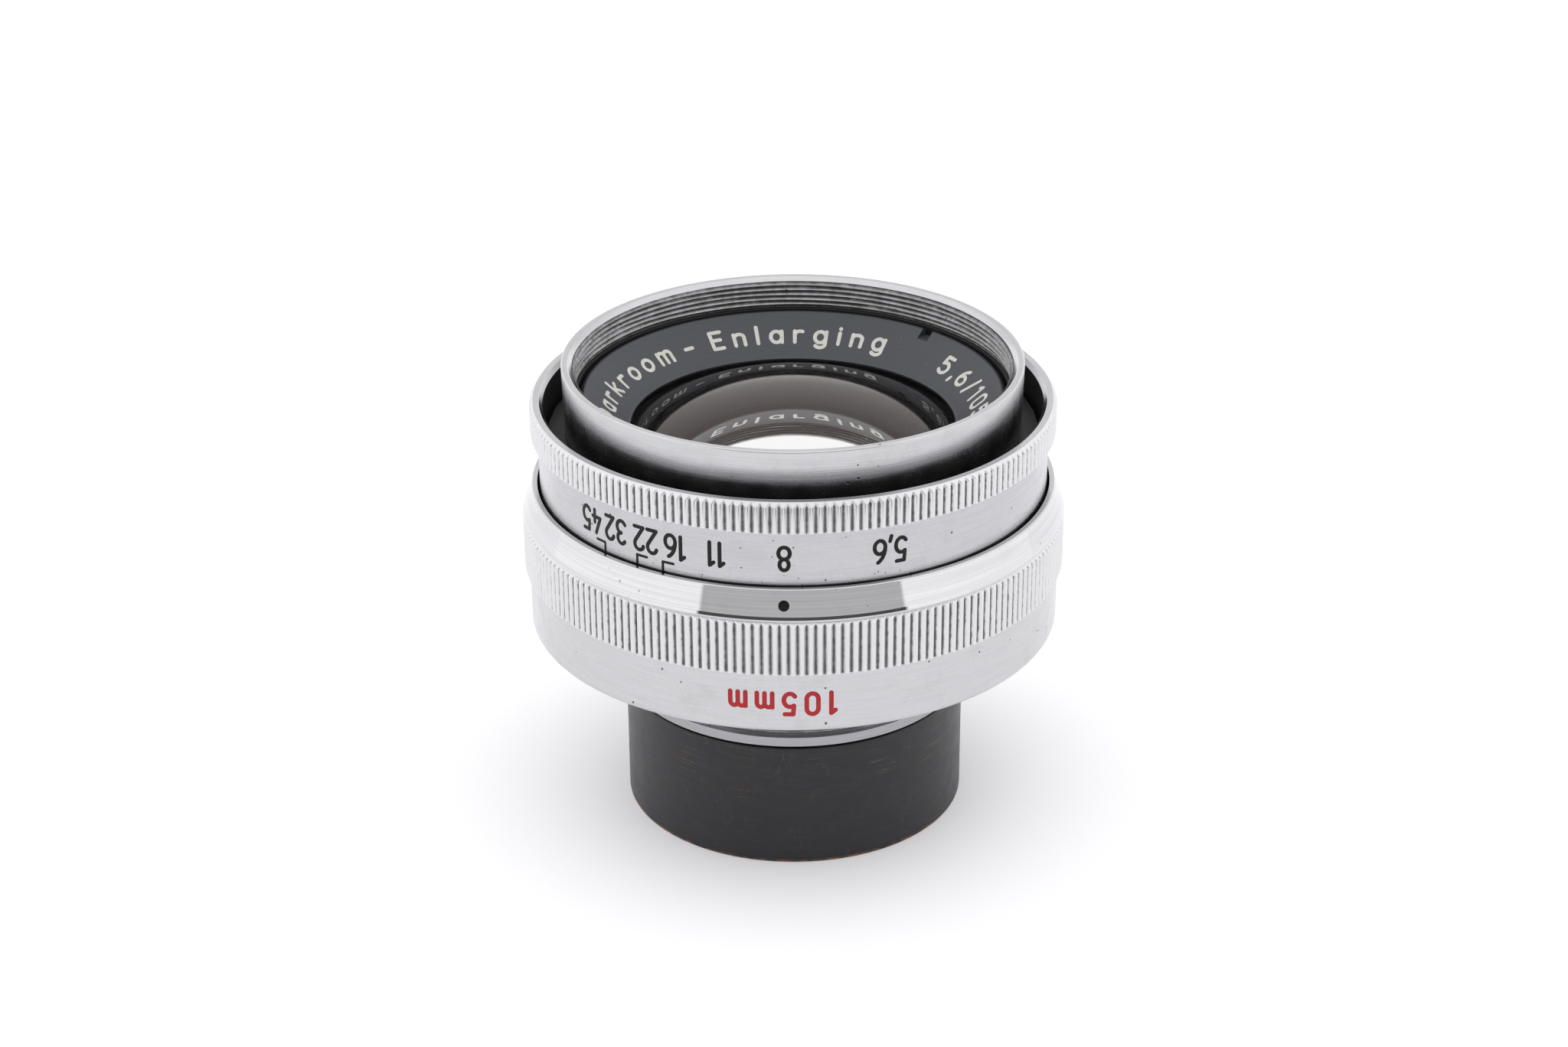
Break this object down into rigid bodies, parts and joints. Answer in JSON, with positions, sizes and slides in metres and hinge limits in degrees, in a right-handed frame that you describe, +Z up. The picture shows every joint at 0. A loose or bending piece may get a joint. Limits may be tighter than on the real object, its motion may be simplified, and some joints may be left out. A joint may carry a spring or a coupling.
{
  "type": "enlarger lens",
  "caption": "Enlarger lens with knurled base and aperture rings, a working multi-blade iris, two glass cells and threads for a lens board and a filter.",
  "frame": {"origin": "centre of the rear barrel's end face, on which the lens stands", "axes": "+Z up along the optical axis towards the front rim; -Y towards the index dot"},
  "size_m": [0.0508, 0.0508, 0.0444],
  "materials": {
    "chromed_metal": "satin chrome with fine turning lines, white cut edges, black filled engraving and small marks of wear",
    "black_lacquer": "semi-gloss black lacquer over brass, with circular scratches",
    "black_anodised": "matt black",
    "name_ring_black": "satin black with fine turning lines and white filled lettering",
    "blackened_steel": "blackened spring steel, satin",
    "brass": "dull machined brass",
    "steel": "turned steel",
    "coated_glass": "polished optical glass with a faint blue single-layer coating"
  },
  "bodies": {
    "lens_body": {"rear_cell_barrel": "black_lacquer", "rear_retaining_ring": "black_anodised", "rear_spacer": "black_anodised", "rear_element_outer": "coated_glass", "rear_element_middle": "coated_glass", "rear_element_inner": "coated_glass", "front_element_inner": "coated_glass", "front_element_middle": "coated_glass", "front_element_outer": "coated_glass", "main_barrel": "chromed_metal", "base_ring": "chromed_metal", "base_grub_screw_1": "steel", "base_grub_screw_2": "steel", "aperture_lock_ring": "black_anodised", "click_spring": "steel", "iris_base_ring": "black_anodised", "iris_retaining_ring": "black_anodised", "front_cell_barrel": "chromed_metal", "front_spacer": "black_anodised", "name_ring": "name_ring_black"},
    "aperture_control": {"aperture_ring": "chromed_metal", "iris_cam_ring": "brass", "drive_screw_1": "steel", "drive_screw_2": "steel"},
    "blade_01": {"iris_blade_01": "blackened_steel"},
    "blade_02": {"iris_blade_02": "blackened_steel"},
    "blade_03": {"iris_blade_03": "blackened_steel"},
    "blade_04": {"iris_blade_04": "blackened_steel"},
    "blade_05": {"iris_blade_05": "blackened_steel"},
    "blade_06": {"iris_blade_06": "blackened_steel"},
    "blade_07": {"iris_blade_07": "blackened_steel"},
    "blade_08": {"iris_blade_08": "blackened_steel"},
    "blade_09": {"iris_blade_09": "blackened_steel"},
    "blade_10": {"iris_blade_10": "blackened_steel"},
    "click": {"click_ball": "steel"}
  },
  "joints": [
    {"name": "aperture_turn", "type": "hinge", "parent": "lens_body", "child": "aperture_control", "pos_m": [0, 0, 0.03], "axis": [0, 0, 1], "range_deg": [-22.8, 42.6]},
    {"name": "blade_pivot_01", "type": "hinge", "parent": "lens_body", "child": "blade_01", "pos_m": [0.013, 0, 0.021], "axis": [0, 0, 1], "range_deg": [-12.2, 22.7]},
    {"name": "blade_pivot_02", "type": "hinge", "parent": "lens_body", "child": "blade_02", "pos_m": [0.01052, 0.00764, 0.021], "axis": [0, 0, 1], "range_deg": [-12.2, 22.7]},
    {"name": "blade_pivot_03", "type": "hinge", "parent": "lens_body", "child": "blade_03", "pos_m": [0.00402, 0.01236, 0.021], "axis": [0, 0, 1], "range_deg": [-12.2, 22.7]},
    {"name": "blade_pivot_04", "type": "hinge", "parent": "lens_body", "child": "blade_04", "pos_m": [-0.00402, 0.01236, 0.021], "axis": [0, 0, 1], "range_deg": [-12.2, 22.7]},
    {"name": "blade_pivot_05", "type": "hinge", "parent": "lens_body", "child": "blade_05", "pos_m": [-0.01052, 0.00764, 0.021], "axis": [0, 0, 1], "range_deg": [-12.2, 22.7]},
    {"name": "blade_pivot_06", "type": "hinge", "parent": "lens_body", "child": "blade_06", "pos_m": [-0.013, 0, 0.021], "axis": [0, 0, 1], "range_deg": [-12.2, 22.7]},
    {"name": "blade_pivot_07", "type": "hinge", "parent": "lens_body", "child": "blade_07", "pos_m": [-0.01052, -0.00764, 0.021], "axis": [0, 0, 1], "range_deg": [-12.2, 22.7]},
    {"name": "blade_pivot_08", "type": "hinge", "parent": "lens_body", "child": "blade_08", "pos_m": [-0.00402, -0.01236, 0.021], "axis": [0, 0, 1], "range_deg": [-12.2, 22.7]},
    {"name": "blade_pivot_09", "type": "hinge", "parent": "lens_body", "child": "blade_09", "pos_m": [0.00402, -0.01236, 0.021], "axis": [0, 0, 1], "range_deg": [-12.2, 22.7]},
    {"name": "blade_pivot_10", "type": "hinge", "parent": "lens_body", "child": "blade_10", "pos_m": [0.01052, -0.00764, 0.021], "axis": [0, 0, 1], "range_deg": [-12.2, 22.7]},
    {"name": "click_slide", "type": "slide", "parent": "lens_body", "child": "click", "axis": [0, 1, 0], "range_m": [0, 0.0006]}
  ],
  "couplings": [
    {"joint": "blade_pivot_01", "follows": "aperture_turn", "ratio": 0.5306},
    {"joint": "blade_pivot_02", "follows": "aperture_turn", "ratio": 0.5306},
    {"joint": "blade_pivot_03", "follows": "aperture_turn", "ratio": 0.5306},
    {"joint": "blade_pivot_04", "follows": "aperture_turn", "ratio": 0.5306},
    {"joint": "blade_pivot_05", "follows": "aperture_turn", "ratio": 0.5306},
    {"joint": "blade_pivot_06", "follows": "aperture_turn", "ratio": 0.5306},
    {"joint": "blade_pivot_07", "follows": "aperture_turn", "ratio": 0.5306},
    {"joint": "blade_pivot_08", "follows": "aperture_turn", "ratio": 0.5306},
    {"joint": "blade_pivot_09", "follows": "aperture_turn", "ratio": 0.5306},
    {"joint": "blade_pivot_10", "follows": "aperture_turn", "ratio": 0.5306}
  ]
}
